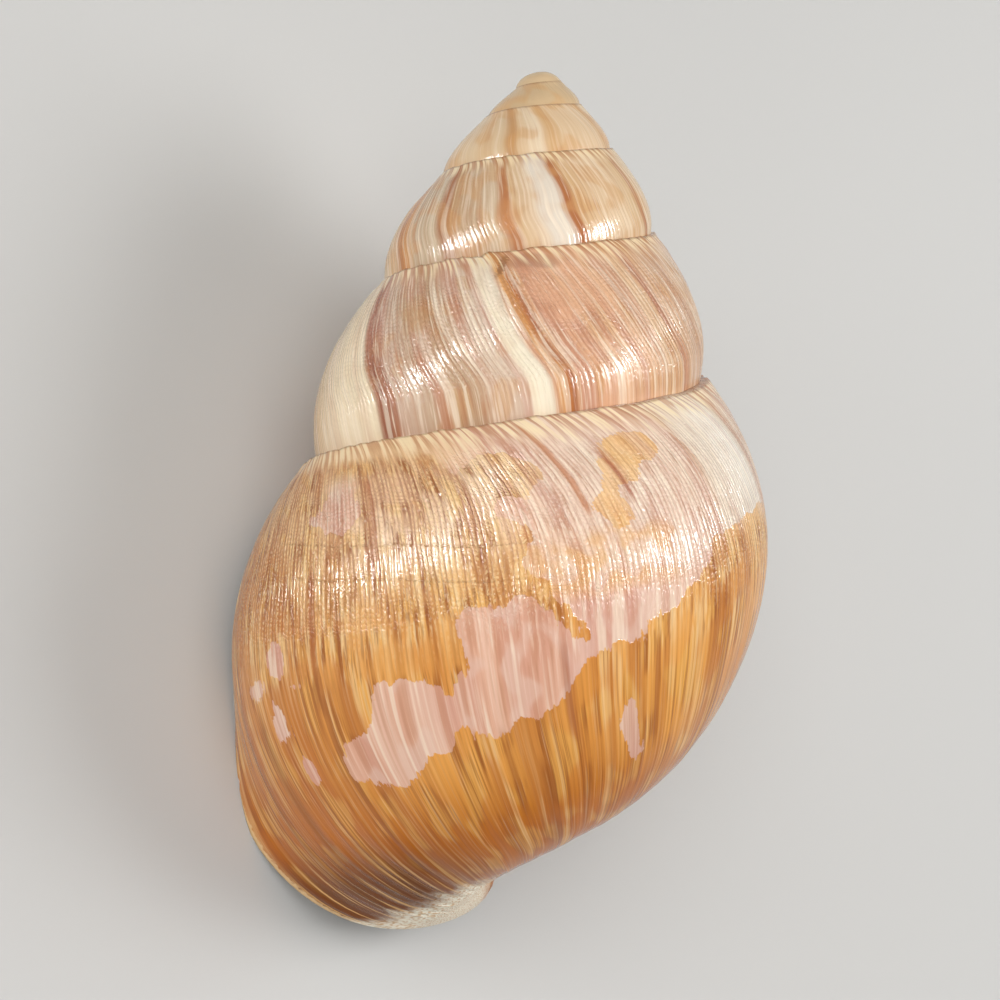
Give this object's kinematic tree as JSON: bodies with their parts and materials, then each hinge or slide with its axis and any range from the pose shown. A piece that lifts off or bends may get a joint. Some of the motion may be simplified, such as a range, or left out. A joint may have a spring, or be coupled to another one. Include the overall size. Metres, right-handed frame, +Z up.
{
  "type": "land snail shell",
  "caption": "Empty shell of a large land snail, coiled to the right with a blunt tip and a flared opening, lying on its lip and body whorl.",
  "frame": {"origin": "centre of the bounding box in plan, at the surface that the shell lies on", "axes": "+Z up, +Y along the shell towards its tip, so -X is the side of the outer lip"},
  "size_m": [0.0772, 0.1234, 0.0672],
  "materials": {
    "shell": "gloss"
  },
  "bodies": {
    "root": {"shell": "shell"}
  },
  "joints": []
}
